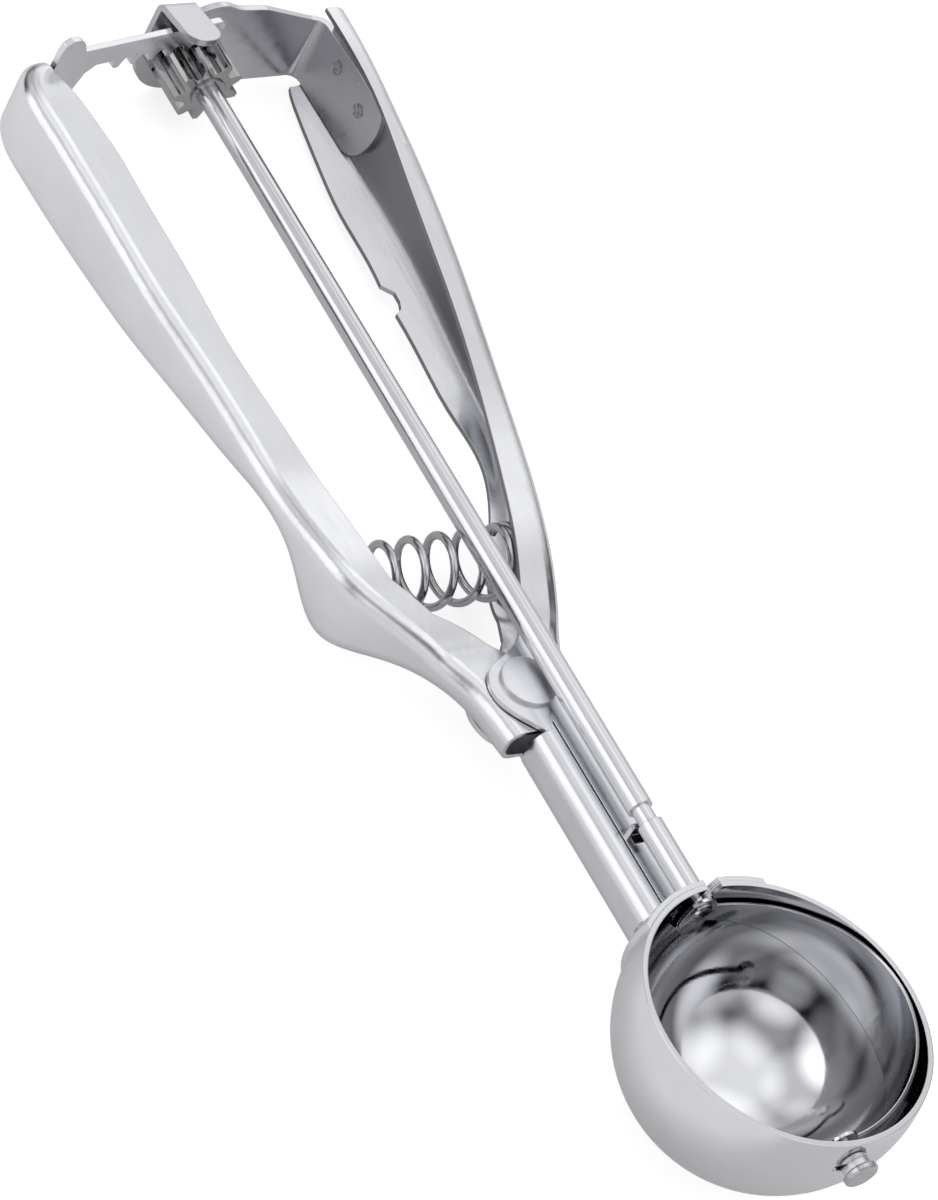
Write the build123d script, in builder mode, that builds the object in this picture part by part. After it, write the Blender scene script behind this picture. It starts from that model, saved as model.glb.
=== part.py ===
from build123d import *
from math import asin, atan2, cos, degrees, hypot, radians, sin, tan
import os

os.makedirs("parts", exist_ok=True)

# All sizes are in millimetres.  The scoop is drawn in its own tool frame: the
# blade rod lies on tool X with the bowl at +X, tool Z is square to the bowl
# rim and the fixed handle is on the +Y side.  The tool frame is tipped so
# that the bowl and both handle ends lie on the table at Z = 0.

# bowl
BOWL_R = 25.0            # outside radius
BOWL_T = 0.9             # wall
RIM_H = 5.2              # rim above the centre of the sphere
SLOT_R = 1.2             # slot in the wall for the tail of the rod
# blade rod
ROD_D = 4.3
KEEP_D = 3.2             # groove for the keeper tab
KEEP_X = (-43.0, -39.8)
TAIL_D = 2.2             # thin end that goes through the bowl wall
PIN_X = 26.1             # underside of the head of the far pin
JOURNAL_D = 3.0          # end that turns in the guide
# pinion and rack
TEETH = 9
PITCH_R = 5.6
TIP_R = 6.4
ROOT_R = 4.4
PINION_X = (-208.7, -199.0)
RACK_DIST = 131.3        # pivot to the middle of the rack strip
RACK_TILT = 9.1          # strip against tool Y with the lever open
RACK_T = 1.2
RACK_TIP = 4.85
RACK_ROOT = 6.75
RACK_TOP = 10.6
PITCH_A = 360 / TEETH * PITCH_R / (RACK_DIST + 0.9)
# lever
PIVOT_X = -72.0
PIVOT_Y = -3.4
RIVET_D = 4.0
SWING = 6.2              # travel in degrees
# folded sheet
SHEET = 0.9
FOLD_R = 3.0             # outside radius of the fixed handle's edges
LEVER_FOLD = 2.85        # outside radius of the lever's edges
TOP_Z = -3.6             # top of the shank and of the upper pivot plate
BOT_Z = -12.4            # underside of the shank and of the lower pivot plate
EAR_TOP = -4.7           # lever neck between the two plates
EAR_BOT = -11.3
NECK_X = -62.5           # where the shank closes to a tube
# return spring
SPRING_X = -99.3
SPRING_Z = -8.35
SPRING_D = 11.5          # mean diameter
WIRE_D = 1.4
SPRING_Y = (-24.9, 11.7)

HEEL = (-203.0, -10.0)   # low corner of the handles that meets the table
TILT = asin(BOWL_R / hypot(*HEEL)) - atan2(-HEEL[1], -HEEL[0])
TX = Vector(cos(TILT), 0, sin(TILT))
TY = Vector(0, 1, 0)
TZ = Vector(-sin(TILT), 0, cos(TILT))


def at(x, y, z):
    """Place of a tool-frame point in the part frame."""
    return TX * x + TY * y + TZ * z + Vector(0, 0, BOWL_R)


def top(z=0.0, x=0.0, y=0.0):
    """Plane square to tool Z."""
    return Plane(origin=at(x, y, z), x_dir=TX, z_dir=TZ)


def side(y=0.0, x=0.0, z=0.0):
    """Plane square to tool Y, drawn in X and Z, facing -Y."""
    return Plane(origin=at(x, y, z), x_dir=TX, z_dir=-TY)


def end(x=0.0, y=0.0, z=0.0):
    """Plane square to tool X, drawn in Y and Z, facing +X."""
    return Plane(origin=at(x, y, z), x_dir=TY, z_dir=TX)


def inset(points, gap):
    """Points moved square to their line, to the left of its direction."""
    moved = []
    for i, (x, y) in enumerate(points):
        x0, y0 = points[max(i - 1, 0)]
        x1, y1 = points[min(i + 1, len(points) - 1)]
        run = hypot(x1 - x0, y1 - y0)
        moved.append((x - gap * (y1 - y0) / run, y + gap * (x1 - x0) / run))
    return moved


def raised(points, gap):
    return [(x, z + gap) for x, z in points]


def arc_points(x, y, r, a0, a1, count):
    """Points on an arc, angles in degrees."""
    step = (a1 - a0) / (count - 1)
    return [(x + r * cos(radians(a0 + i * step)), y + r * sin(radians(a0 + i * step)))
            for i in range(count)]


def run_line(points, lead=0, trail=0):
    """Smooth line with straight pieces between its first or last points."""
    first, last = lead, len(points) - 1 - trail
    ends = []
    for i, j in ((0, 1) if lead else (first, first + 1), (-2, -1) if trail else (last - 1, last)):
        ends.append((points[j][0] - points[i][0], points[j][1] - points[i][1]))
    for i in range(first):
        Line(points[i], points[i + 1])
    Spline(*points[first:last + 1], tangents=ends if lead or trail else [])
    for i in range(last, len(points) - 1):
        Line(points[i], points[i + 1])


def formed(back, far_y, roof, floor, fold, stretch=0.0, back_straight=(0, 0)):
    """Solid between a curved back, a far side, a roof and a floor, back edges rounded."""
    (x0, y0), (x1, y1) = back[-2:]
    last = x1 + stretch
    back = back[:-1] + [(last, y1 + stretch * (y1 - y0) / (x1 - x0))]
    with BuildPart() as body:
        with BuildSketch(top(-40)):
            with BuildLine():
                run_line(back, *back_straight)
                Polyline(back[-1], (last, far_y), (back[0][0], far_y), back[0])
            make_face()
        extrude(amount=80)
        with BuildSketch(side(-60)):
            with BuildLine():
                run_line(roof, 0, 1)
                Polyline(roof[-1], (last + 5, roof[-1][1]), (last + 5, floor[-1][1]), floor[-1])
                run_line(floor, 1, 1)
                Line(floor[0], roof[0])
            make_face()
        extrude(amount=-120, mode=Mode.INTERSECT)
        run = body.edges().filter_by(lambda e: e.length > 3 and abs((e % 0.5).dot(TX)) > 0.7)
        outer = run.filter_by(lambda e: abs(e.center().Y - far_y) > 6)
        fillet(outer, fold)
    return body.part


def dome(reach, height):
    """Height at half reach of a cap that is round about its axis."""
    radius = (reach ** 2 + height ** 2) / (2 * height)
    return height - radius + (radius ** 2 - reach ** 2 / 4) ** 0.5


# ---------------------------------------------------------------- lever handle
lever_back = [(-202.3, -34.5), (-200.5, -39.3), (-195.4, -41.4), (-188.0, -40.7), (-180.0, -39.5),
              (-171.0, -38.3), (-154.0, -36.0), (-143.0, -33.7), (-130.6, -31.4), (-120.0, -30.0),
              (-110.0, -29.5), (-101.0, -28.9), (-93.7, -27.0), (-87.0, -22.4), (-80.4, -16.7),
              (-73.9, -12.9), (-67.0, -11.5), (-63.5, -11.0)]
lever_roof = [(-206.0, 9.2), (-202.0, 8.8), (-194.0, 8.4), (-188.0, 7.6), (-180.0, 6.4),
              (-171.0, 5.2), (-154.0, 2.7), (-143.0, 1.0), (-130.0, -1.0), (-117.0, -2.4),
              (-107.0, -1.4), (-98.0, -0.7), (-88.0, -2.0), (-82.0, -3.9), (-77.5, EAR_TOP),
              (-63.5, EAR_TOP)]
lever_floor = [(-206.0, -4.7), (-198.0, -5.6), (-188.0, -7.2), (-176.0, -8.5), (-160.0, -9.1),
               (-140.0, -9.5), (-126.0, -9.1), (-114.0, -8.2), (-107.5, -9.4), (-102.0, -12.8),
               (-96.0, -15.6), (-89.0, -13.3), (-80.0, EAR_BOT), (-63.5, EAR_BOT)]
lever_ear = ([(-87.0, -14.4), (-84.0, -9.8)] + arc_points(PIVOT_X, PIVOT_Y, 6.1, 160, 20, 6)
             + [(-64.3, -4.0), (-60.0, -4.4)])
lever_top_edge = [(-205.0, -35.6), (-201.0, -34.9), (-198.0, -34.3), (-194.0, -32.9), (-187.8, -31.3),
                  (-181.3, -29.8), (-173.8, -29.0), (-156.8, -26.8), (-143.0, -25.3),
                  (-128.7, -22.4), (-115.0, -20.4), (-102.0, -20.3), (-94.0, -19.4)]
lever_bottom_edge = [(-204.0, -37.0)] + inset(lever_back[2:12], 3.3) + [(-92.0, -20.6)]

lever_outer = formed(lever_back, 12.0, lever_roof, lever_floor, LEVER_FOLD)
lever_inner = formed(inset(lever_back, SHEET), 14.0, raised(lever_roof, -SHEET),
                     raised(lever_floor, SHEET), LEVER_FOLD - SHEET, 3.0)

with BuildPart() as lever_handle:
    add(lever_outer)
    add(lever_inner, mode=Mode.SUBTRACT)
    for edge_line, depth in ((lever_top_edge, 20), (lever_bottom_edge, -20)):
        with BuildSketch(top(-6.5)):
            with BuildLine():
                Spline(*edge_line)
                Line(edge_line[-1], lever_ear[0])
                Spline(*lever_ear)
                Polyline(lever_ear[-1], (-60, 16), (-210, 16), edge_line[0])
            make_face()
        extrude(amount=depth, mode=Mode.SUBTRACT)
    with Locations(top(0, PIVOT_X, PIVOT_Y)):
        Cylinder(RIVET_D / 2 + 0.05, 60, mode=Mode.SUBTRACT)
lever_handle.part.label = "lever_handle"
export_step(lever_handle.part, "parts/lever_handle.step")

# ------------------------------------------- fixed handle, shank and saddle
fixed_back = [(-207.0, 29.3), (-178.0, 29.3), (-165.0, 28.8), (-151.5, 27.5), (-138.0, 25.7),
              (-124.7, 23.4), (-110.0, 19.7), (-98.0, 15.7), (-85.6, 11.2), (-79.3, 8.6),
              (-73.0, 7.0), (NECK_X, 7.0)]
fixed_roof = [(-214.0, 10.6), (-200.0, 10.3), (-184.0, 8.2), (-168.0, 5.5), (-152.0, 3.1),
              (-138.0, 1.0), (-124.0, -0.5), (-108.0, -0.6), (-97.0, -0.6), (-90.0, -1.4),
              (-84.0, -2.8), (-79.0, TOP_Z), (NECK_X, TOP_Z)]
fixed_floor = [(-214.0, -10.0), (-190.0, -10.0), (-160.0, -10.0), (-135.0, -9.6),
               (-118.0, -9.1), (-109.0, -12.4), (-98.0, -16.0), (-89.0, -14.2), (-80.0, BOT_Z),
               (NECK_X, BOT_Z)]
fixed_top_edge = [(-216.0, 24.6), (-195.0, 24.9), (-185.8, 25.0), (-177.0, 24.3), (-166.5, 23.2),
                  (-155.9, 22.1), (-142.2, 20.5), (-124.7, 16.9), (-109.0, 11.9), (-95.5, 6.8),
                  (-87.0, 3.3), (-81.8, 0.6), (-79.3, -2.2), (-77.4, -6.0), (-75.4, -9.2),
                  (-72.0, -10.6), (-68.5, -9.9), (-65.4, -7.6), (-62.7, -5.2)]
low_edge_end = [(-209.0, 26.6), (-206.0, 25.2), (-201.7, 24.1), (-187.7, 21.6), (-177.3, 20.2),
                (-168.0, 20.0), (-160.2, 19.4)]
low_edge_step = [(-160.2, 19.4), (-158.4, 21.3), (-156.4, 21.3), (-154.6, 20.6), (-153.8, 19.2)]
low_edge_run = [(-153.8, 19.2), (-140.0, 18.3), (-129.5, 17.1), (-118.0, 16.7), (-111.0, 15.2),
                (-96.0, 9.0), (-91.8, 7.6)]
low_plate = ([(-86.5, 4.6), (-81.8, 1.2)] + arc_points(PIVOT_X, PIVOT_Y, 7.2, 165, 340, 7)
             + [(-62.7, -5.2)])

fixed_outer = formed(fixed_back, -16.0, fixed_roof, fixed_floor, FOLD_R, 0.0, (1, 1))
fixed_inner = formed(inset(fixed_back, -SHEET), -18.0, raised(fixed_roof, -SHEET),
                     raised(fixed_floor, SHEET), FOLD_R - SHEET, 3.0, (1, 1))
NOSE = (-207.0, 25.2)    # centre of the bend that the guide and the handle share

with BuildPart() as saddle_patch:
    with Locations(top(0)):
        Sphere(BOWL_R + SHEET)
    with BuildSketch(end(-30)) as saddle_face:
        with BuildLine():
            Polyline((9.7, RIM_H), (-15.5, RIM_H), (-15.2, 0.0))
            Spline((-15.2, 0.0), (-13.4, -7.5), (-8.5, -13.6), (-2.0, -15.6), (4.5, -14.0),
                   (8.6, -8.5), (9.7, 0.0))
            Line((9.7, 0.0), (9.7, RIM_H))
        make_face()
    extrude(amount=25, mode=Mode.INTERSECT)
saddle = saddle_patch.part

with BuildPart() as fixed_handle:
    add(fixed_outer)
    add(fixed_inner, mode=Mode.SUBTRACT)
    # upper flange with its half of the pivot clevis
    with BuildSketch(top(-6.5)):
        with BuildLine():
            Spline(*fixed_top_edge)
            Polyline(fixed_top_edge[-1], (-60, -5.2), (-60, -20), (-216, -20), fixed_top_edge[0])
        make_face()
    extrude(amount=20, mode=Mode.SUBTRACT)
    # lower flange, open between the handle and the lower pivot plate
    with BuildSketch(top(-6.5)):
        with BuildLine():
            Spline(*low_edge_end)
            Polyline(*low_edge_step)
            Spline(*low_edge_run)
            Line(low_edge_run[-1], low_plate[0])
            Spline(*low_plate)
            Polyline(low_plate[-1], (-60, -5.2), (-60, -20), (-216, -20), (-216, 26.6),
                     low_edge_end[0])
        make_face()
    extrude(amount=-20, mode=Mode.SUBTRACT)
    # web carried round the bend of the guide
    with BuildSketch(top(-8.4)) as nose_sheet:
        with BuildLine():
            CenterArc(NOSE, 3.2, 90, 50)
            CenterArc(NOSE, 4.1, 90, 50)
            Line((NOSE[0], NOSE[1] + 3.2), (NOSE[0], NOSE[1] + 4.1))
            Line((NOSE[0] + 3.2 * cos(radians(140)), NOSE[1] + 3.2 * sin(radians(140))),
                 (NOSE[0] + 4.1 * cos(radians(140)), NOSE[1] + 4.1 * sin(radians(140))))
        make_face()
    extrude(amount=13.2)
    # shank tube with a seam along its upper side
    with BuildSketch(end(NECK_X, 0, (TOP_Z + BOT_Z) / 2)) as tube:
        RectangleRounded(14.0, TOP_Z - BOT_Z, 3.0)
        RectangleRounded(14.0 - 2 * SHEET, TOP_Z - BOT_Z - 2 * SHEET, 2.1, mode=Mode.SUBTRACT)
    extrude(amount=42.5)
    with BuildSketch(top(TOP_Z - 2)):
        with Locations((-42.0, -3.1)):
            Rectangle(44.0, 0.35)
    extrude(amount=4, mode=Mode.SUBTRACT)
    # flared end of the shank, bedded on the outside of the bowl
    add(saddle)
    with Locations(top(0)):
        Sphere(BOWL_R, mode=Mode.SUBTRACT)
    with BuildSketch(end(-30)):
        Circle(SLOT_R)
        Polygon((-1.2, 0), (1.2, 0), (2.0, 8), (-1.2, 8), align=None)
    extrude(amount=15, mode=Mode.SUBTRACT)
    # lanced tab that keeps the rod from sliding
    with BuildSketch(top(TOP_Z - 1.2)):
        with Locations((-39.9, 0)):
            Rectangle(1.6, 3.2)
    extrude(amount=2.4, mode=Mode.SUBTRACT)
    with Locations(top(TOP_Z - SHEET / 2, -41.2, 0)):
        Box(SHEET, 3.2, 2.25, align=(Align.CENTER, Align.CENTER, Align.MIN))
    # rivet hole
    with Locations(top(0, PIVOT_X, PIVOT_Y)):
        Cylinder(RIVET_D / 2, 60, mode=Mode.SUBTRACT)
fixed_handle.part.label = "fixed_handle"
export_step(fixed_handle.part, "parts/fixed_handle.step")

# --------------------------------------------------------------------- bowl
with BuildPart() as bowl:
    with Locations(top(0)):
        Sphere(BOWL_R)
        Sphere(BOWL_R - BOWL_T, mode=Mode.SUBTRACT)
    with Locations(top(RIM_H)):
        Box(60, 60, 40, align=(Align.CENTER, Align.CENTER, Align.MIN), mode=Mode.SUBTRACT)
    with BuildSketch(end(-30)):
        Circle(SLOT_R)
        Polygon((-1.2, 0), (1.2, 0), (2.0, 8), (-1.2, 8), align=None)
    extrude(amount=15, mode=Mode.SUBTRACT)
    with BuildSketch(end(15)):
        Circle(1.5)
        Polygon((-4.2, 0.5), (-4.2, -0.5), (0, -1.5), (0, 1.5), align=None)
    extrude(amount=15, mode=Mode.SUBTRACT)
bowl.part.label = "bowl"
export_step(bowl.part, "parts/bowl.step")

# ------------------------------------------------------------- pivot rivet
with BuildPart() as pivot_rivet:
    with BuildSketch(side(PIVOT_Y)):
        with BuildLine():
            Polyline((PIVOT_X, TOP_Z + 1.1), (PIVOT_X, -13.4), (PIVOT_X + 3.4, -13.4),
                     (PIVOT_X + 4.0, -12.9), (PIVOT_X + 4.0, BOT_Z), (PIVOT_X + RIVET_D / 2, BOT_Z),
                     (PIVOT_X + RIVET_D / 2, TOP_Z), (PIVOT_X + 4.8, TOP_Z),
                     (PIVOT_X + 4.8, TOP_Z + 0.7))
            ThreePointArc((PIVOT_X + 4.8, TOP_Z + 0.7),
                          (PIVOT_X + 2.4, TOP_Z + 0.7 + dome(4.8, 0.4)), (PIVOT_X, TOP_Z + 1.1))
        make_face()
    revolve(axis=Axis(at(PIVOT_X, PIVOT_Y, 0), TZ))
pivot_rivet.part.label = "pivot_rivet"
export_step(pivot_rivet.part, "parts/pivot_rivet.step")

# ----------------------------------------------------------- return spring
def coil_points(turns, y_a, y_b, closed):
    """Centre line of the wire, with the last turn at each end wound flat."""
    low, high = y_a + WIRE_D / 2, y_b - WIRE_D / 2
    flat = WIRE_D + 0.12
    points = []
    for i in range(int(turns * 12) + 1):
        turn = i / 12
        if turn < closed:
            y = low + flat * turn
        elif turn > turns - closed:
            y = high - flat * (turns - turn)
        else:
            share = (turn - closed) / (turns - 2 * closed)
            y = low + flat * closed + share * (high - low - 2 * flat * closed)
        a = 2 * 3.14159265 * turn
        points.append(at(SPRING_X + SPRING_D / 2 * cos(a), y, SPRING_Z + SPRING_D / 2 * sin(a)))
    return points


coil = coil_points(7.5, SPRING_Y[0], SPRING_Y[1], 1.0)
with BuildPart() as return_spring:
    with BuildLine() as wire:
        Spline(*coil)
    with BuildSketch(Plane(origin=coil[0], z_dir=wire.line % 0)):
        Circle(WIRE_D / 2)
    sweep(is_frenet=True)
return_spring.part.label = "return_spring"
export_step(return_spring.part, "parts/return_spring.step")

# --------------------------------------------------------------- blade rod
with BuildPart() as blade_rod:
    with BuildSketch(side(0)):
        with BuildLine():
            Polyline((-211.2, 0), (-211.2, 1.2), (-210.9, JOURNAL_D / 2), (-208.9, JOURNAL_D / 2),
                     (-208.9, ROD_D / 2), (KEEP_X[0], ROD_D / 2), (KEEP_X[0], KEEP_D / 2),
                     (KEEP_X[1], KEEP_D / 2), (KEEP_X[1], ROD_D / 2), (-26.9, ROD_D / 2),
                     (-26.6, ROD_D / 2 - 0.3), (-26.6, TAIL_D / 2), (-22.97, TAIL_D / 2),
                     (-22.97, 1.7), (-22.7, 1.7), (-22.4, 1.2), (-22.4, 0), (-211.2, 0))
        make_face()
    revolve(axis=Axis(at(0, 0, 0), TX))
blade_rod.part.label = "blade_rod"
export_step(blade_rod.part, "parts/blade_rod.step")

# ------------------------------------------------------------------ pinion
with BuildPart() as pinion:
    with BuildSketch(end(PINION_X[0])) as pinion_face:
        Circle(ROOT_R)
        with PolarLocations(0, TEETH, start_angle=90 + 180 / TEETH):
            Polygon((ROOT_R - 1.2, -1.2), (ROOT_R, -1.12), (PITCH_R, -0.8), (TIP_R, -0.42),
                    (TIP_R, 0.42), (PITCH_R, 0.8), (ROOT_R, 1.12), (ROOT_R - 1.2, 1.2), align=None)
        Circle(ROD_D / 2, mode=Mode.SUBTRACT)
    extrude(amount=PINION_X[1] - PINION_X[0])
    with BuildSketch(end(PINION_X[1])):
        Circle(3.25)
        Circle(ROD_D / 2, mode=Mode.SUBTRACT)
    extrude(amount=0.4)
pinion.part.label = "pinion"
export_step(pinion.part, "parts/pinion.step")

# -------------------------------------------------------------------- rack
RACK_N = Vector(cos(radians(RACK_TILT)), sin(radians(RACK_TILT)))
RACK_S = Vector(-sin(radians(RACK_TILT)), cos(radians(RACK_TILT)))
FOOT_X = PIVOT_X - RACK_N.X * RACK_DIST
FOOT_Y = PIVOT_Y - RACK_N.Y * RACK_DIST


def rack_xy(u, s):
    """Tool X and Y of a point u off the strip and s along it."""
    return (FOOT_X + RACK_N.X * u + RACK_S.X * s, FOOT_Y + RACK_N.Y * u + RACK_S.Y * s)


def rack_s(y):
    """Place along the strip of a tool Y."""
    return (y - FOOT_Y) / RACK_S.Y


def rack_plane(u=0.0):
    x, y = rack_xy(u, 0)
    return Plane(origin=at(x, y, 0), x_dir=TX * RACK_S.X + TY * RACK_S.Y,
                 z_dir=TX * RACK_N.X + TY * RACK_N.Y)


LEG_S = -17.2            # outside of the leg that lies on the lever's web
BEND_R = 6.5
LEG_U = BEND_R - RACK_T / 2
ANGLE_0 = 180 - degrees(atan2(-PIVOT_Y, RACK_DIST + 2.2))
END_S = rack_s(3.0)
with BuildPart() as rack:
    # strip
    with BuildSketch(rack_plane(-RACK_T / 2)):
        with BuildLine():
            Polyline((END_S - 1.6, RACK_TOP), (rack_s(-28.3), RACK_TOP + 0.2),
                     (rack_s(-29.4), 13.0), (rack_s(-30.6), 13.9), (rack_s(-32.2), 14.0),
                     (rack_s(-33.5), 13.2), (rack_s(-33.9), 11.8), (rack_s(-34.0), 6.9),
                     (LEG_S + BEND_R, 6.0), (LEG_S + BEND_R, -4.5), (rack_s(-33.5), -4.1),
                     (rack_s(-30.0), -3.0), (rack_s(-27.4), 1.8), (rack_s(-26.3), 5.2),
                     (rack_s(-24.4), RACK_ROOT), (rack_s(-21.5), RACK_ROOT),
                     (rack_s(-21.5), RACK_TIP), (rack_s(1.9), RACK_TIP), (rack_s(1.9), RACK_ROOT),
                     (END_S - 1.0, RACK_ROOT), (END_S, RACK_ROOT + 1.0), (END_S, RACK_TOP - 1.6))
            RadiusArc((END_S, RACK_TOP - 1.6), (END_S - 1.6, RACK_TOP), -1.6)
        make_face()
    extrude(amount=RACK_T)
    # tooth gaps, each one cut along its own radius from the pivot
    for k in range(7):
        angle = radians(ANGLE_0 + (k - 0.5) * PITCH_A)
        ray = Vector(cos(angle), sin(angle))
        reach = RACK_DIST / abs(ray.X * RACK_N.X + ray.Y * RACK_N.Y)
        across = TX * -ray.Y + TY * ray.X
        with BuildSketch(Plane(origin=at(PIVOT_X + ray.X * reach, PIVOT_Y + ray.Y * reach, 0),
                               x_dir=across, z_dir=across.cross(TZ))):
            Polygon((-1.75, 4.0), (1.75, 4.0), (1.15, PITCH_R), (0.72, RACK_ROOT - 0.25),
                    (0.5, RACK_ROOT), (-0.5, RACK_ROOT), (-0.72, RACK_ROOT - 0.25),
                    (-1.15, PITCH_R), align=None)
        extrude(amount=3, both=True, mode=Mode.SUBTRACT)
    # bend and leg along the web of the lever
    with BuildSketch(top(-4.5)):
        with BuildLine():
            RadiusArc(rack_xy(-0.6, LEG_S + BEND_R), rack_xy(LEG_U, LEG_S), -BEND_R)
            Line(rack_xy(LEG_U, LEG_S), rack_xy(LEG_U, LEG_S + RACK_T))
            RadiusArc(rack_xy(LEG_U, LEG_S + RACK_T), rack_xy(0.6, LEG_S + BEND_R), BEND_R - RACK_T)
            Line(rack_xy(0.6, LEG_S + BEND_R), rack_xy(-0.6, LEG_S + BEND_R))
        make_face()
    extrude(amount=9.7)
    leg_x, leg_y = rack_xy(0, LEG_S)
    with BuildSketch(Plane(origin=at(leg_x, leg_y, 0), x_dir=TX * RACK_N.X + TY * RACK_N.Y,
                           z_dir=TX * -RACK_S.X - TY * RACK_S.Y)):
        with BuildLine():
            Polyline((LEG_U, 5.2), (16.5, 3.6))
            Spline((16.5, 3.6), (19.8, 2.2), (21.0, -0.4), (19.8, -3.2), (17.4, -4.5))
            Polyline((17.4, -4.5), (LEG_U, -4.5), (LEG_U, 5.2))
        make_face()
    extrude(amount=-RACK_T)
rack.part.label = "rack"
export_step(rack.part, "parts/rack.step")

# -------------------------------------------------------------- rack guide
GUIDE_T = 1.2
GUIDE_X = -210.2
TAB_Z = 9.8
TAB_RISE = radians(10)
LEG_IN = NOSE[1] + 3.2 - GUIDE_T
LEG_LOW = -8.2           # low edge of the leg, pressed into the fold of the handle
with BuildPart() as rack_guide:
    with BuildSketch(end(GUIDE_X)):
        with BuildLine():
            Polyline((25.2, LEG_LOW), (14.0, -8.4), (0.0, -9.0))
            CenterArc((0, 0), 9.0, 270, -78)
            Polyline((9.0 * cos(radians(192)), 9.0 * sin(radians(192))), (-8.8, TAB_Z),
                     (-2.2, TAB_Z), (-2.2, 8.6), (-0.4, 8.6), (0.6, 9.4))
            Spline((0.6, 9.4), (3.0, 10.2), (5.2, 10.3), (7.6, 9.4), (10.5, 9.0), (14.0, 8.8))
            Polyline((14.0, 8.8), (25.2, 5.4), (25.2, LEG_LOW))
        make_face()
        Circle(JOURNAL_D / 2 + 0.05, mode=Mode.SUBTRACT)
    extrude(amount=GUIDE_T)
    # tab bent forward over the rack
    with BuildSketch(side(-8.8)):
        with BuildLine():
            cx = GUIDE_X + 2.0
            CenterArc((cx, TAB_Z), 2.0, 180, -80)
            CenterArc((cx, TAB_Z), 0.8, 180, -80)
            Line((cx - 2.0, TAB_Z), (cx - 0.8, TAB_Z))
            a = (cx - 2.0 * sin(TAB_RISE), TAB_Z + 2.0 * cos(TAB_RISE))
            b = (cx - 0.8 * sin(TAB_RISE), TAB_Z + 0.8 * cos(TAB_RISE))
            run = (10.2 * cos(TAB_RISE), 10.2 * sin(TAB_RISE))
            Polyline(a, (a[0] + run[0], a[1] + run[1]), (b[0] + run[0], b[1] + run[1]), b)
        make_face()
    extrude(amount=-6.6)
    tab_end = rack_guide.edges().filter_by(
        lambda e: abs(e.length - GUIDE_T) < 0.01 and e.center().X > at(-199, 0, 12).X)
    fillet(tab_end, 2.9)
    # bend and leg on the web of the fixed handle
    with BuildSketch(top(LEG_LOW)):
        with BuildLine():
            CenterArc(NOSE, 3.2, 90, 90)
            CenterArc(NOSE, 3.2 - GUIDE_T, 90, 90)
            Line((NOSE[0] - 3.2, NOSE[1]), (NOSE[0] - 3.2 + GUIDE_T, NOSE[1]))
            Line((NOSE[0], NOSE[1] + 3.2), (NOSE[0], LEG_IN))
        make_face()
    extrude(amount=5.4 - LEG_LOW)
    with BuildSketch(side(LEG_IN)):
        with BuildLine():
            Polyline((-190.6, LEG_LOW), (-207.0, LEG_LOW), (-207.0, 5.4), (-196.0, 6.0),
                     (-187.2, 5.6))
            Spline((-187.2, 5.6), (-185.6, 3.9), (-185.0, 1.0), (-185.4, -2.4), (-187.0, -5.8),
                   (-190.6, LEG_LOW))
        make_face()
    extrude(amount=-GUIDE_T)
    # low edge of the leg eased where the handle is folded
    with BuildSketch(end(-207.0)):
        Polygon((28.5, -6.85), (28.5, -8.6), (27.3, -8.6), (27.3, LEG_LOW - 0.1), (28.3, -6.85),
                align=None)
    extrude(amount=25, mode=Mode.SUBTRACT)
rack_guide.part.label = "rack_guide"
export_step(rack_guide.part, "parts/rack_guide.step")

# ----------------------------------------------------------- scraper blade
BLADE_TURN = radians(-2)
BLADE_OUT = TY * cos(BLADE_TURN) + TZ * sin(BLADE_TURN)
BLADE_T = 0.6
with BuildPart() as scraper_blade:
    with BuildSketch(side(0)):
        with BuildLine():
            CenterArc((0, 0), 23.65, 90, 90)
            EllipticalCenterArc((0, 0), 21.3, 23.65, 0, arc_size=90)
            Line((21.3, 0), (21.3 - BLADE_T, 0))
            EllipticalCenterArc((0, 0), 21.3 - BLADE_T, 23.65 - BLADE_T, 0, arc_size=90)
            CenterArc((0, 0), 23.65 - BLADE_T, 90, 90)
            Line((-23.65 + BLADE_T, 0), (-23.65, 0))
        make_face()
    revolve(axis=Axis(at(0, 0, 0), TX))
    with BuildSketch(Plane(origin=at(0, 0, 0), x_dir=TX, z_dir=-BLADE_OUT)) as lens:
        with BuildLine():
            Spline((-26, -0.2), (-23.4, 0.6), (-21.9, 1.4), (-17.7, 2.9), (-12.5, 4.5), (-6.0, 5.5),
                   (0, 5.8), (8, 5.2), (15, 3.6), (19, 1.9), (21.6, 0.5), (26, -0.8))
            Line((26, -0.8), (26, -2.7))
            Spline((26, -2.7), (21, -2.9), (15, -4.3), (8, -5.4), (0, -5.8), (-8, -5.3),
                   (-16, -4.1), (-23.3, -2.8), (-26, -2.7))
            Line((-26, -2.7), (-26, -0.2))
        make_face()
    blade_wide = extrude(amount=-30, mode=Mode.PRIVATE)
    with BuildSketch(end(-30)):
        with Locations((-0.3, -1.3)):
            SlotCenterToCenter(2.7, 5.4, rotation=78)
    blade_ears = extrude(amount=60, mode=Mode.PRIVATE)
    add(blade_wide + blade_ears, mode=Mode.INTERSECT)
    with BuildSketch(end(-30)):
        Circle(TAIL_D / 2)
    extrude(amount=20, mode=Mode.SUBTRACT)
    with BuildSketch(end(10)):
        Circle(1.3)
    extrude(amount=20, mode=Mode.SUBTRACT)
scraper_blade.part.label = "scraper_blade"
export_step(scraper_blade.part, "parts/scraper_blade.step")

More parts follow.
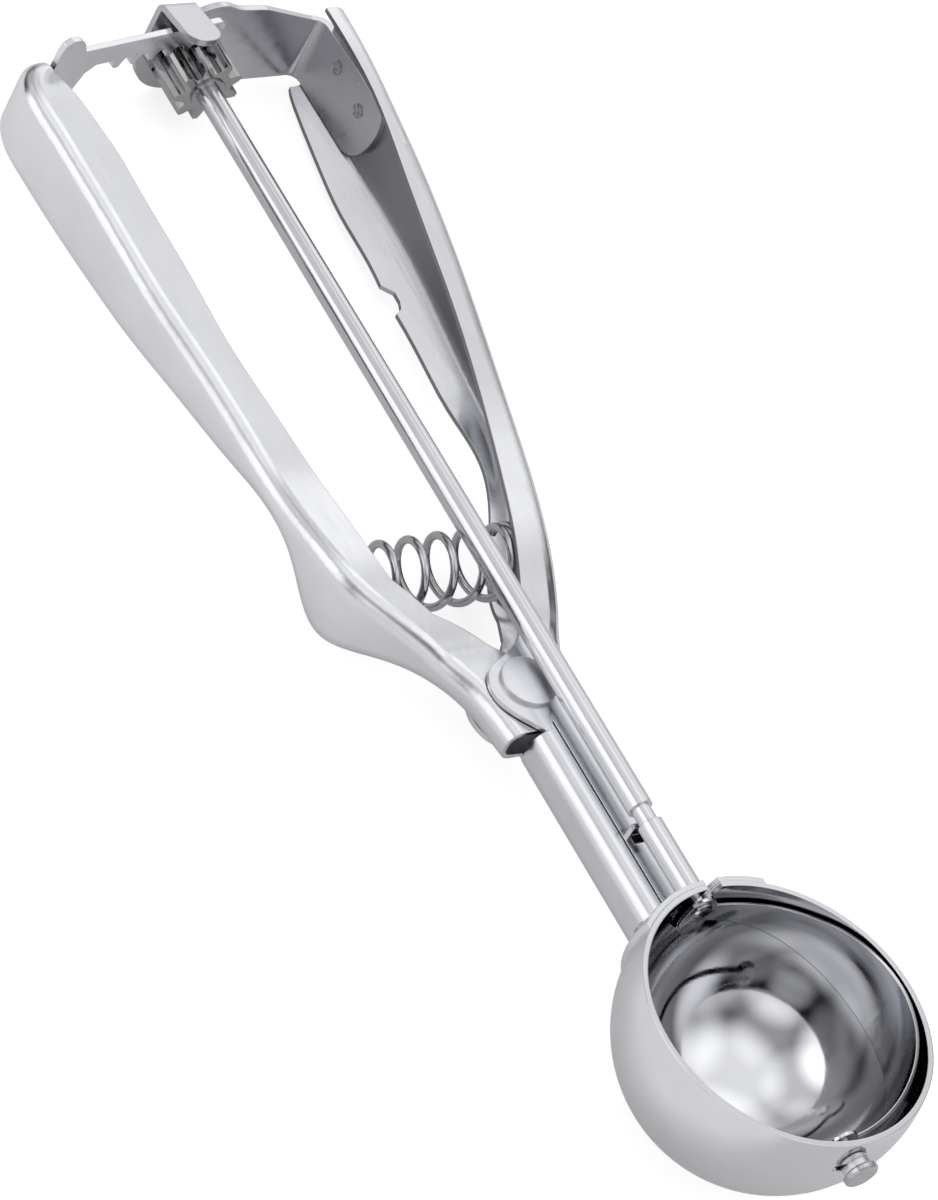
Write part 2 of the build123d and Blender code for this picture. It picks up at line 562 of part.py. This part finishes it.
# --------------------------------------------------- pin and collar of the blade
with BuildPart() as blade_pin:
    with BuildSketch(side(0)):
        with BuildLine():
            Polyline((20.2, 0), (20.2, 1.3), (20.3, 1.7), (20.62, 1.7), (20.62, 1.3), (PIN_X, 1.3),
                     (PIN_X, 2.65), (PIN_X + 0.2, 2.85), (PIN_X + 0.8, 2.85), (PIN_X + 1.1, 2.6),
                     (PIN_X + 1.25, 2.2), (PIN_X + 1.3, 0), (20.2, 0))
        make_face()
    revolve(axis=Axis(at(0, 0, 0), TX))
blade_pin.part.label = "blade_pin"
export_step(blade_pin.part, "parts/blade_pin.step")

with BuildPart() as pin_collar:
    with BuildSketch(end(24.0)):
        Circle(2.3)
        Circle(1.35, mode=Mode.SUBTRACT)
    extrude(amount=PIN_X - 0.1 - 24.0)
    with Locations(top(0)):
        Sphere(BOWL_R, mode=Mode.SUBTRACT)
pin_collar.part.label = "pin_collar"
export_step(pin_collar.part, "parts/pin_collar.step")

# -------------------------------------------------------------- spot welds
with BuildPart() as guide_spot_welds:
    for x, z in ((-200.7, 1.9), (-191.5, 0.6)):
        with BuildSketch(side(LEG_IN)):
            with Locations((x, z)):
                Circle(1.3)
        extrude(amount=0.25)
guide_spot_welds.part.label = "guide_spot_welds"
export_step(guide_spot_welds.part, "parts/guide_spot_welds.step")

with BuildPart() as rack_spot_welds:
    weld_x, weld_y = rack_xy(0, LEG_S + RACK_T)
    for u, z in ((7.0, 2.2), (15.5, 0.6)):
        with BuildSketch(Plane(origin=at(weld_x, weld_y, 0), x_dir=TX * RACK_N.X + TY * RACK_N.Y,
                               z_dir=TX * RACK_S.X + TY * RACK_S.Y)):
            with Locations((u, z)):
                Circle(1.3)
        extrude(amount=0.25)
rack_spot_welds.part.label = "rack_spot_welds"
export_step(rack_spot_welds.part, "parts/rack_spot_welds.step")

with BuildPart() as saddle_spot_welds:
    for y, z in ((-11.0, -1.5), (8.0, -0.5)):
        x = -(BOWL_R ** 2 - y ** 2 - z ** 2) ** 0.5
        with BuildSketch(Plane(origin=at(x, y, z), z_dir=at(x, y, z) - at(0, 0, 0))):
            Circle(1.1)
        extrude(amount=1.2)
    with Locations(top(0)):
        Sphere(BOWL_R + SHEET, mode=Mode.SUBTRACT)
saddle_spot_welds.part.label = "saddle_spot_welds"
export_step(saddle_spot_welds.part, "parts/saddle_spot_welds.step")
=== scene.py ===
import math

import bpy
from mathutils import Matrix, Vector


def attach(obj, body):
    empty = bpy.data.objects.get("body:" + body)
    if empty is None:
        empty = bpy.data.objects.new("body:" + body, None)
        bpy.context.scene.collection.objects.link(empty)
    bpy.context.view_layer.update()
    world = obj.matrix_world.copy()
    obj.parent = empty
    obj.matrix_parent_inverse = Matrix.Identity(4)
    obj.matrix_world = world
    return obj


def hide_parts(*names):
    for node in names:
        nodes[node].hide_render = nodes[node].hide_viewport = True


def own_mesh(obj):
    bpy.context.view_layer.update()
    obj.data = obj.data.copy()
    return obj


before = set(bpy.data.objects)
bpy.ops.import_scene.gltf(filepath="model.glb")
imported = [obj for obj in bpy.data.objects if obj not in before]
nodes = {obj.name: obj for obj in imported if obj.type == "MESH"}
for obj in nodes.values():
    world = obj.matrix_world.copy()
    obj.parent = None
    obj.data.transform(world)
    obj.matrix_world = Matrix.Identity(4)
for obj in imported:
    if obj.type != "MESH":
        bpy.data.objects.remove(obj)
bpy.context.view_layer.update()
scene = bpy.context.scene

BOWL_R = 0.025                      # radius of the bowl, whose centre is this high


# ------------------------------------------------------------------ node helpers
def node_setup(name):
    """A new material with its node tree and shader."""
    mat = bpy.data.materials.new(name)
    mat.use_nodes = True
    tree = mat.node_tree
    return mat, tree, tree.nodes["Principled BSDF"]


def ramp_of(tree, value, start, stop, low=0.0, high=1.0):
    """Smooth step of a value, from low at start to high at stop."""
    ramp = tree.nodes.new("ShaderNodeMapRange")
    ramp.interpolation_type = "SMOOTHSTEP"
    ramp.inputs["From Min"].default_value = start
    ramp.inputs["From Max"].default_value = stop
    ramp.inputs["To Min"].default_value = low
    ramp.inputs["To Max"].default_value = high
    tree.links.new(value, ramp.inputs["Value"])
    return ramp.outputs["Result"]


def calc(tree, operation, first, second):
    """One sum, product and so on, of two values or a value and a number."""
    node = tree.nodes.new("ShaderNodeMath")
    node.operation = operation
    for socket, value in zip(node.inputs, (first, second)):
        if isinstance(value, (int, float)):
            socket.default_value = value
        else:
            tree.links.new(value, socket)
    return node.outputs[0]


def dot_of(tree, first, second):
    """Dot product of a vector with another one, or with a fixed direction."""
    node = tree.nodes.new("ShaderNodeVectorMath")
    node.operation = "DOT_PRODUCT"
    tree.links.new(first, node.inputs[0])
    if isinstance(second, tuple):
        node.inputs[1].default_value = second
    else:
        tree.links.new(second, node.inputs[1])
    return node.outputs["Value"]


def parts_of(tree, vector):
    """The X, Y and Z of a vector."""
    node = tree.nodes.new("ShaderNodeSeparateXYZ")
    tree.links.new(vector, node.inputs[0])
    return node.outputs


def noise(tree, coords, scale, detail=3.0, stretch=(1.0, 1.0, 1.0), turn=(0.0, 0.0, 0.0)):
    """Noise of a scale per metre, stretched along an axis."""
    mapping = tree.nodes.new("ShaderNodeMapping")
    mapping.inputs["Scale"].default_value = stretch
    mapping.inputs["Rotation"].default_value = turn
    tree.links.new(coords, mapping.inputs["Vector"])
    texture = tree.nodes.new("ShaderNodeTexNoise")
    texture.inputs["Scale"].default_value = scale
    texture.inputs["Detail"].default_value = detail
    tree.links.new(mapping.outputs["Vector"], texture.inputs["Vector"])
    return texture.outputs["Fac"]


def tinted(tree, color, mask, tone):
    """Colour multiplied by a tone where the mask is 1."""
    mix = tree.nodes.new("ShaderNodeMix")
    mix.data_type = "RGBA"
    mix.blend_type = "MULTIPLY"
    mix.clamp_result = False
    tree.links.new(mask, mix.inputs["Factor"])
    tree.links.new(color, mix.inputs["A"])
    mix.inputs["B"].default_value = (*tone, 1)
    return mix.outputs["Result"]


def bumped(tree, height, distance, normal):
    """Shading normal with a bump added to it."""
    bump = tree.nodes.new("ShaderNodeBump")
    bump.inputs["Strength"].default_value = 1.0
    bump.inputs["Distance"].default_value = distance
    tree.links.new(height, bump.inputs["Height"])
    tree.links.new(normal, bump.inputs["Normal"])
    return bump.outputs["Normal"]


def facing(tree, direction, start, stop):
    """Mask of the faces that look along a direction."""
    geometry = tree.nodes.new("ShaderNodeNewGeometry")
    return ramp_of(tree, dot_of(tree, geometry.outputs["Normal"], direction), start, stop)


# ------------------------------------------------------------------ steel
STEEL_CAST = (0.985, 0.992, 1.035)  # the faint blue of stainless steel
FLANGE_OPEN = math.radians(28)      # how far open the fixed handle's low flange is shaded
WALL_LOW, WALL_HIGH = 0.009, 0.016  # heights between which painted shade darkens the bowl's inner walls
EDGE_RADIUS = 0.00025               # rounding of the edges in the shading
RUBBED_TONE = 1.08                  # how much brighter worn edges are
GRIME_ROUGH = 0.12                  # roughness that dirt adds
INSIDE_ROUGH = 0.12                 # and that unpolished inner faces have more
SATIN_ROUGH = 0.05                  # and the low flange on top of that
BEVEL_SAMPLES = 4
CREVICE_SAMPLES = 6
SCUFFS = ((0.5, (60.0, 1100.0, 500.0)), (-0.8, (90.0, 500.0, 1300.0)))    # turn and stretch
PIT_SCALE = 1800.0                  # pits per metre

# Noise per metre along X, Y and Z, which gives the run of the polishing lines.
ALONG = (40.0, 900.0, 900.0)
ACROSS = (700.0, 80.0, 700.0)
SPUN = (300.0, 300.0, 900.0)
EVEN = (500.0, 500.0, 500.0)


def grey(level):
    return (level, level, level)


def bowl_wall_shade(tree):
    """Mask of painted shade on the bowl's inner walls, which ends above its bottom."""
    place = tree.nodes.new("ShaderNodeTexCoord")
    offset = tree.nodes.new("ShaderNodeVectorMath")
    offset.operation = "SUBTRACT"
    tree.links.new(place.outputs["Object"], offset.inputs[0])
    offset.inputs[1].default_value = (0, 0, BOWL_R)
    outward = dot_of(tree, offset.outputs["Vector"], place.outputs["Normal"])
    inner = ramp_of(tree, outward, -0.005, -0.015)
    height = parts_of(tree, place.outputs["Object"])["Z"]
    return calc(tree, "MULTIPLY", inner, ramp_of(tree, height, WALL_LOW, WALL_HIGH))


def bare_metal(tree, coords, color, mottling, clouds):
    """Colour of the metal, a little mottled."""
    color = [c * cast for c, cast in zip(color, STEEL_CAST)]
    tint = tree.nodes.new("ShaderNodeValToRGB")
    first, last = tint.color_ramp.elements
    first.position, last.position = 0.3, 0.7
    first.color = (*[c * (1 - mottling * 2) for c in color], 1)
    last.color = (*[min(1.0, c * (1 + mottling)) for c in color], 1)
    tree.links.new(noise(tree, coords, clouds), tint.inputs["Fac"])
    return tint.outputs["Color"]


def used_polish(tree, coords, lines, rough, spread, scuffs):
    """Roughness from polishing lines, smudges and short scuffs in two directions."""
    roughness = ramp_of(tree, lines, 0.3, 0.7, rough - spread, rough + spread)
    smudge = noise(tree, coords, 35.0, 2.0)
    roughness = calc(tree, "ADD", roughness, ramp_of(tree, smudge, 0.5, 0.7, 0.0, spread))
    for turn, stretch in SCUFFS:
        scuff = noise(tree, coords, 1.0, 1.0, stretch, (turn, 0.3, turn))
        scuff = ramp_of(tree, scuff, 0.70, 0.76, 0.0, scuffs)
        roughness = calc(tree, "ADD", roughness, scuff)
    return roughness


def steel(name, color, rough, spread, grain=ALONG, grain_depth=0.00001, mottling=0.02,
          scuffs=0.06, clouds=90.0, pits=0.0, grime_and_shade_reach=0.002, grime_and_shade_tone=0.6, inside=None,
          inside_shade_tone=0.5, inside_to=None, satin_below=None, wall_shade_tone=None):
    """Stainless steel: polishing lines, mottling, scuffs, bright worn edges, and dirt with
    painted shade in crevices.

    clouds is the scale of the mottling per metre, and pits is how deep the pits are.
    grime_and_shade_reach is how near a neighbour has to be for dirt and painted shade to gather.
    inside is the direction that the inner faces look in, up to x = inside_to; they are left
    rougher, and inside_shade_tone paints shade on them.
    satin_below is the height below which the faces that look up are left satin.
    wall_shade_tone is the tone of the painted shade on the bowl's inner walls.
    """
    mat, tree, shader = node_setup(name)
    add = tree.nodes.new
    link = tree.links.new
    shader.inputs["Metallic"].default_value = 1.0
    coords = add("ShaderNodeTexCoord").outputs["Object"]
    lines = noise(tree, coords, 1.0, 4.0, grain)
    shade = bare_metal(tree, coords, color, mottling, clouds)
    roughness = used_polish(tree, coords, lines, rough, spread, scuffs)

    # Edges are rounded a little and rubbed bright.
    rounded = add("ShaderNodeBevel")
    rounded.samples = BEVEL_SAMPLES
    rounded.inputs["Radius"].default_value = EDGE_RADIUS
    flat_normal = add("ShaderNodeNewGeometry").outputs["Normal"]
    rubbed = ramp_of(tree, dot_of(tree, rounded.outputs["Normal"], flat_normal), 0.97, 0.80)
    shade = tinted(tree, shade, rubbed, grey(RUBBED_TONE))
    normal = bumped(tree, lines, grain_depth, rounded.outputs["Normal"])

    # Painted shade and dirt darken crevices, where ambient occlusion finds near neighbours.
    if grime_and_shade_reach:
        crevice = add("ShaderNodeAmbientOcclusion")
        crevice.samples = CREVICE_SAMPLES
        crevice.inputs["Distance"].default_value = grime_and_shade_reach
        grime_and_shade_mask = ramp_of(tree, crevice.outputs["AO"], 0.62, 0.20)
        shade = tinted(tree, shade, grime_and_shade_mask, (grime_and_shade_tone, grime_and_shade_tone * 0.99, grime_and_shade_tone * 0.97))
        roughness = calc(tree, "ADD", roughness, calc(tree, "MULTIPLY", grime_and_shade_mask, GRIME_ROUGH))
    if pits:
        normal = bumped(tree, noise(tree, coords, PIT_SCALE, 4.0), pits, normal)
    # Painted shade darkens the inner walls of the bowl and the blade.
    if wall_shade_tone:
        shade = tinted(tree, shade, bowl_wall_shade(tree), grey(wall_shade_tone))
    # Inner faces are rougher, and painted shade darkens their colour.
    if inside:
        mask = facing(tree, inside, 0.55, 0.9)
        place = parts_of(tree, coords)
        if inside_to:
            near = ramp_of(tree, place["X"], inside_to - 0.004, inside_to + 0.002, 1.0, 0.0)
            mask = calc(tree, "MULTIPLY", mask, near)
        shade = tinted(tree, shade, mask, (inside_shade_tone, inside_shade_tone, inside_shade_tone * 1.01))
        roughness = calc(tree, "ADD", roughness, calc(tree, "MULTIPLY", mask, INSIDE_ROUGH))
        if satin_below:
            up = facing(tree, (0, 0, 1), 0.6, 0.9)
            low_down = ramp_of(tree, place["Z"], satin_below, satin_below - 0.003)
            satin = calc(tree, "MULTIPLY", up, low_down)
            roughness = calc(tree, "ADD", roughness, calc(tree, "MULTIPLY", satin, SATIN_ROUGH))
            # The low flange is shaded as if it were bent further open than square.
            opened = add("ShaderNodeMix")
            opened.data_type = "VECTOR"
            link(satin, opened.inputs["Factor"])
            link(normal, opened.inputs["A"])
            opened.inputs["B"].default_value = (0, -math.sin(FLANGE_OPEN), math.cos(FLANGE_OPEN))
            normal = opened.outputs["Result"]

    link(shade, shader.inputs["Base Color"])
    link(roughness, shader.inputs["Roughness"])
    link(normal, shader.inputs["Normal"])
    return mat


rivet_steel = steel("rivet_steel", grey(0.86), 0.38, 0.04, grain=EVEN, grain_depth=0.000004)
weld_steel = steel("weld_steel", (0.60, 0.58, 0.56), 0.20, 0.10, mottling=0.32, clouds=1300.0,
                   pits=0.0006)
finish = {
    # The bowl's inner walls get painted shade.
    "bowl": steel("bowl_steel", (0.78, 0.78, 0.775), 0.06, 0.02, grain=SPUN,
                  grain_depth=0.000004, scuffs=0.03, grime_and_shade_reach=0.0, wall_shade_tone=0.58),
    # The inside of the fixed handle gets dark painted shade.
    "fixed_handle": steel("fixed_steel", grey(0.80), 0.20, 0.03, inside=(0, -1, 0),
                          inside_to=-0.074, inside_shade_tone=0.40, satin_below=0.009),
    "lever_handle": steel("lever_steel", grey(0.80), 0.20, 0.03, inside=(0, 1, 0),
                          inside_to=-0.06),
    "pivot_rivet": rivet_steel,
    "return_spring": steel("spring_steel", grey(0.58), 0.07, 0.02),
    "rack": steel("rack_steel", grey(0.82), 0.20, 0.04, grain=ACROSS),
    "rack_guide": steel("stamped_steel", grey(0.74), 0.20, 0.05, grain=ACROSS,
                        inside=(0, -1, 0), inside_shade_tone=0.85),
    # The pinion's crevices get dark painted shade and dirt between the teeth.
    "pinion": steel("pinion_steel", (0.47, 0.46, 0.45), 0.08, 0.04, grime_and_shade_reach=0.005,
                    grime_and_shade_tone=0.12),
    "blade_rod": steel("rod_steel", grey(0.76), 0.14, 0.03),
    "scraper_blade": steel("blade_steel", (0.76, 0.76, 0.755), 0.09, 0.03, grain=SPUN,
                           grain_depth=0.000006, scuffs=0.04, grime_and_shade_reach=0.0, wall_shade_tone=0.68),
    "blade_pin": steel("pin_steel", grey(0.54), 0.16, 0.04),
    "pin_collar": rivet_steel,
    "guide_spot_welds": weld_steel,
    "rack_spot_welds": weld_steel,
    "saddle_spot_welds": weld_steel,
}
for name, mat in finish.items():
    mesh = nodes[name].data
    mesh.materials.clear()
    mesh.materials.append(mat)

# ------------------------------------------------------------------ spring
# A copy of the spring, with a mesh of its own, stands for it in the frame.
coil = bpy.data.objects.new("spring_coil", nodes["return_spring"].data.copy())
scene.collection.objects.link(coil)
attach(coil, "frame")
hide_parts("return_spring")
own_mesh(coil)

# ------------------------------------------------------------------ floor
FLOOR_HALF = 3.0
FLOOR_Z = -0.0002
FLOOR_SEEN = 0.74        # glow of the floor straight to the camera
FLOOR_MIRRORED = 0.15    # its glow in the metal
FLOOR_FRONT = 0.20       # more of that in front of the tool
FLOOR_BACK = 0.10        # and behind it
corners = [(x * FLOOR_HALF, y * FLOOR_HALF, FLOOR_Z)
           for x, y in ((-1, -1), (1, -1), (1, 1), (-1, 1))]
floor_mesh = bpy.data.meshes.new("floor")
floor_mesh.from_pydata(corners, [], [(0, 1, 2, 3)])
floor = bpy.data.objects.new("floor", floor_mesh)
scene.collection.objects.link(floor)
mat, tree, shader = node_setup("floor_white")
shader.inputs["Base Color"].default_value = (*grey(0.6), 1)
shader.inputs["Roughness"].default_value = 1.0
shader.inputs["Specular IOR Level"].default_value = 0.0
shader.inputs["Emission Color"].default_value = (1, 1, 1, 1)
path = tree.nodes.new("ShaderNodeLightPath")
across = parts_of(tree, tree.nodes.new("ShaderNodeNewGeometry").outputs["Position"])["Y"]
glow = calc(tree, "ADD", ramp_of(tree, across, -0.020, -0.050, 0.0, FLOOR_FRONT),
            ramp_of(tree, across, 0.030, 0.060, FLOOR_MIRRORED, FLOOR_MIRRORED + FLOOR_BACK))
glow = calc(tree, "MULTIPLY", path.outputs["Is Glossy Ray"], glow)
seen = calc(tree, "MULTIPLY", path.outputs["Is Camera Ray"], FLOOR_SEEN)
tree.links.new(calc(tree, "ADD", glow, seen), shader.inputs["Emission Strength"])
floor_mesh.materials.append(mat)

# ------------------------------------------------------------------ light
# Soft round lights: azimuth, elevation, inner and outer radius in degrees, and gain.
SOFTBOXES = (
    (90, 84, 18, 46, 0.90),      # overhead
    (40, 50, 8, 32, 0.35),       # back right
    (140, 48, 10, 34, 0.42),     # back left
    (185, 32, 8, 30, 0.45),      # left
    (232, 44, 8, 32, 0.62),      # front left
    (135, 18, 10, 34, 0.80),     # low back
    (62, 20, 12, 40, 0.42),      # back
    (252, 13, 12, 36, 1.20),     # low front
    (312, 15, 10, 35, 0.75),     # low, under the camera
    (2, 14, 10, 40, 0.60),       # low right
    (302, 50, 8, 33, 0.34),      # behind the camera
)
STUDIO_LEVEL = 0.03              # light between the soft lights
BACKDROP = 1.0                   # what the camera sees

world = bpy.data.worlds.new("studio")
scene.world = world
world.use_nodes = True
tree = world.node_tree
background = tree.nodes["Background"]
background.inputs["Color"].default_value = (1, 1, 1, 1)
direction = tree.nodes.new("ShaderNodeTexCoord").outputs["Generated"]
studio = STUDIO_LEVEL
for azimuth, elevation, inner, outer, gain in SOFTBOXES:
    turn, rise = math.radians(azimuth), math.radians(elevation)
    middle = (math.cos(rise) * math.cos(turn), math.cos(rise) * math.sin(turn), math.sin(rise))
    light = ramp_of(tree, dot_of(tree, direction, middle), math.cos(math.radians(outer)),
                    math.cos(math.radians(inner)), 0.0, gain)
    studio = calc(tree, "ADD", light, studio)
mix = tree.nodes.new("ShaderNodeMix")
tree.links.new(tree.nodes.new("ShaderNodeLightPath").outputs["Is Camera Ray"],
               mix.inputs["Factor"])
tree.links.new(studio, mix.inputs["A"])
mix.inputs["B"].default_value = BACKDROP
tree.links.new(mix.outputs["Result"], background.inputs["Strength"])

# ------------------------------------------------------------------ camera
PHOTO_WIDTH = 938                # pixels
FOCAL_LENGTH = 4800              # pixels
SENSOR = 36.0                    # millimetres
EYE = Vector((0.220703, -0.460114, 0.553598))
TARGET = Vector((-0.091698, -0.001087, 0.010))
ROLL = math.radians(36.7133)

camera = bpy.data.cameras.new("camera")
camera.sensor_fit = "HORIZONTAL"
camera.sensor_width = SENSOR
camera.lens = FOCAL_LENGTH / PHOTO_WIDTH * SENSOR
camera.clip_start = 0.01
camera_object = bpy.data.objects.new("camera", camera)
aim = (TARGET - EYE).to_track_quat("-Z", "Y").to_matrix().to_4x4()
camera_object.matrix_world = Matrix.Translation(EYE) @ aim @ Matrix.Rotation(ROLL, 4, "Z")
scene.collection.objects.link(camera_object)
scene.camera = camera_object
scene.view_settings.view_transform = "Standard"
